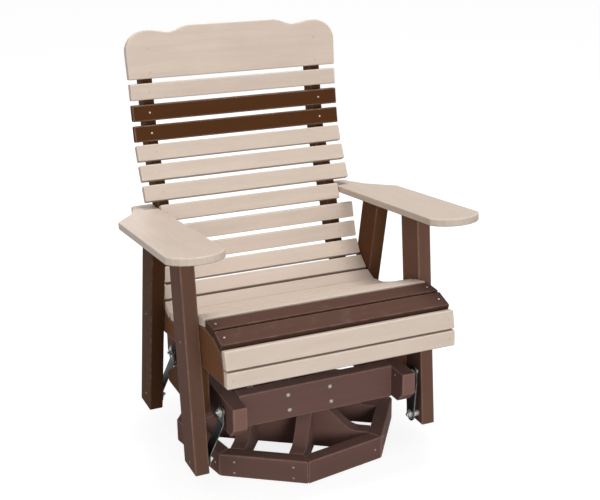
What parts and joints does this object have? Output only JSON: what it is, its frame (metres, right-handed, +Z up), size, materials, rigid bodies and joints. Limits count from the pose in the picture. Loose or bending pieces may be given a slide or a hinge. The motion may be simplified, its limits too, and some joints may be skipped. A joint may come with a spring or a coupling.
{
  "type": "swivel glider chair",
  "caption": "Outdoor armchair of plastic lumber boards whose seat hangs on steel links from a frame that turns on an octagonal base.",
  "frame": {"origin": "on the floor, under the centre of the chair's bounding box", "axes": "+Z up; the chair faces -Y; +X is the sitter's left"},
  "size_m": [0.825, 0.7861, 1.0948],
  "materials": {
    "sand_board": "matte, fine grain",
    "chestnut_board": "matte, fine grain",
    "black_steel": "satin powder coat",
    "zinc_steel": "bright zinc plate"
  },
  "bodies": {
    "base": {"base_ring_1": "chestnut_board", "base_ring_2": "chestnut_board", "base_ring_3": "chestnut_board", "base_ring_4": "chestnut_board", "base_ring_5": "chestnut_board", "base_ring_6": "chestnut_board", "base_ring_7": "chestnut_board", "base_ring_8": "chestnut_board", "base_cross_front": "chestnut_board", "base_cross_rear": "chestnut_board", "base_brace_left": "chestnut_board", "base_brace_right": "chestnut_board", "swivel_plate_lower": "zinc_steel"},
    "swivel_frame": {"side_rail_left": "chestnut_board", "side_rail_right": "chestnut_board", "cross_rail_front": "chestnut_board", "cross_rail_rear": "chestnut_board", "centre_rail_left": "chestnut_board", "centre_rail_right": "chestnut_board", "swivel_plate_upper": "zinc_steel"},
    "link_front_left": {"link_front_left": "black_steel"},
    "link_front_right": {"link_front_right": "black_steel"},
    "link_rear_left": {"link_rear_left": "black_steel"},
    "link_rear_right": {"link_rear_right": "black_steel"},
    "seat": {"crest_board": "sand_board", "back_slat_02": "sand_board", "back_slat_03": "chestnut_board", "back_slat_04": "chestnut_board", "back_slat_05": "sand_board", "back_slat_06": "sand_board", "back_slat_07": "sand_board", "back_slat_08": "sand_board", "back_slat_09": "sand_board", "back_slat_10": "sand_board", "back_slat_11": "sand_board", "back_slat_12": "sand_board", "back_slat_13": "sand_board", "seat_slat_1": "sand_board", "seat_slat_2": "sand_board", "seat_slat_3": "sand_board", "seat_slat_4": "sand_board", "seat_slat_5": "sand_board", "seat_slat_6": "chestnut_board", "seat_slat_7": "chestnut_board", "apron_slat_1": "sand_board", "apron_slat_2": "sand_board", "seat_rib_left": "chestnut_board", "seat_rib_right": "chestnut_board", "back_rib_left": "chestnut_board", "back_rib_right": "chestnut_board", "leg_front_left": "chestnut_board", "leg_front_right": "chestnut_board", "leg_rear_left": "chestnut_board", "leg_rear_right": "chestnut_board", "arm_left": "sand_board", "arm_right": "sand_board", "arm_block_left": "sand_board", "arm_block_right": "sand_board", "seat_bracket_left": "chestnut_board", "seat_bracket_right": "chestnut_board"}
  },
  "joints": [
    {"name": "swivel_turn", "type": "hinge", "parent": "base", "child": "swivel_frame", "pos_m": [0, -0.01284, 0.15], "axis": [0, 0, 1], "continuous": true},
    {"name": "glide_front_left", "type": "hinge", "parent": "swivel_frame", "child": "link_front_left", "pos_m": [-0.26255, -0.21484, 0.203], "axis": [1, 0, 0], "range_deg": [-18, 18]},
    {"name": "glide_front_right", "type": "hinge", "parent": "swivel_frame", "child": "link_front_right", "pos_m": [0.28905, -0.21484, 0.203], "axis": [1, 0, 0], "range_deg": [-18, 18]},
    {"name": "glide_rear_left", "type": "hinge", "parent": "swivel_frame", "child": "link_rear_left", "pos_m": [-0.26255, 0.19216, 0.203], "axis": [1, 0, 0], "range_deg": [-18, 18]},
    {"name": "glide_rear_right", "type": "hinge", "parent": "swivel_frame", "child": "link_rear_right", "pos_m": [0.28905, 0.19216, 0.203], "axis": [1, 0, 0], "range_deg": [-18, 18]},
    {"name": "seat_level", "type": "hinge", "parent": "link_front_left", "child": "seat", "pos_m": [-0.30145, -0.21484, 0.079], "axis": [1, 0, 0], "range_deg": [-18, 18]}
  ],
  "couplings": [
    {"joint": "glide_front_right", "follows": "glide_front_left", "ratio": 1},
    {"joint": "glide_rear_left", "follows": "glide_front_left", "ratio": 1},
    {"joint": "glide_rear_right", "follows": "glide_front_left", "ratio": 1},
    {"joint": "seat_level", "follows": "glide_front_left", "ratio": -1}
  ]
}
